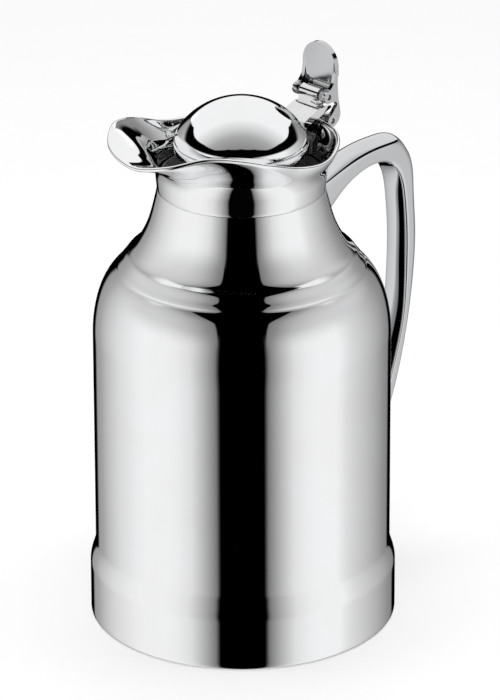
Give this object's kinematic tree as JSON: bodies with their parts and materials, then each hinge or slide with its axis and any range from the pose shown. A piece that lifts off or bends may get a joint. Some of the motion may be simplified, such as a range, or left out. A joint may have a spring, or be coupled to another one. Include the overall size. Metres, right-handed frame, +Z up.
{
  "type": "coffee pot",
  "caption": "Insulated coffee pot: tall round body, waved pouring collar, D-shaped handle, domed lid raised by a thumb lever, stopper and glass vacuum flask inside.",
  "frame": {"origin": "centre of the flat underside, on the body's axis", "axes": "+Z up along the body's axis, spout towards -X, handle and hinge towards +X, Y across"},
  "size_m": [0.1708, 0.1328, 0.2492],
  "materials": {
    "chrome": "mirror polished",
    "chrome_fittings": "polished cast",
    "steel": "machined",
    "flask_glass": "silvered on the vacuum side",
    "silicone": "soft matte",
    "black_plastic": "fine matte",
    "foam": "foamed",
    "pads": "fibrous"
  },
  "bodies": {
    "pot": {"outer_shell": "chrome", "collar": "chrome", "handle": "chrome", "handle_screws": "steel", "neck_ring": "black_plastic", "mouth_seal": "silicone", "flask_inner": "flask_glass", "flask_outer": "flask_glass", "flask_pads": "pads", "flask_cushion": "silicone", "base_plate": "black_plastic", "base_ring": "steel", "hinge_bracket": "chrome_fittings", "bracket_plate": "steel", "bracket_screws": "steel", "lever_pin": "steel", "return_spring": "steel"},
    "lever": {"thumb_lever": "chrome_fittings", "lid_pin": "steel"},
    "lid": {"lid_dome": "chrome", "lid_base": "chrome", "lid_arm": "chrome_fittings", "arm_screws": "steel", "stopper_body": "black_plastic", "stopper_seal": "silicone", "stopper_foam": "foam", "stopper_screw": "steel"}
  },
  "joints": [
    {"name": "lever_hinge", "type": "hinge", "parent": "pot", "child": "lever", "pos_m": [0.0456, 0, 0.2162], "axis": [0, 1, 0], "range_deg": [0, 75], "stiffness_Nm_per_rad": 0.06, "springref_deg": -34.38},
    {"name": "lid_hinge", "type": "hinge", "parent": "lever", "child": "lid", "pos_m": [0.0434, 0, 0.2274], "axis": [0, 1, 0], "range_deg": [0, 5]}
  ]
}
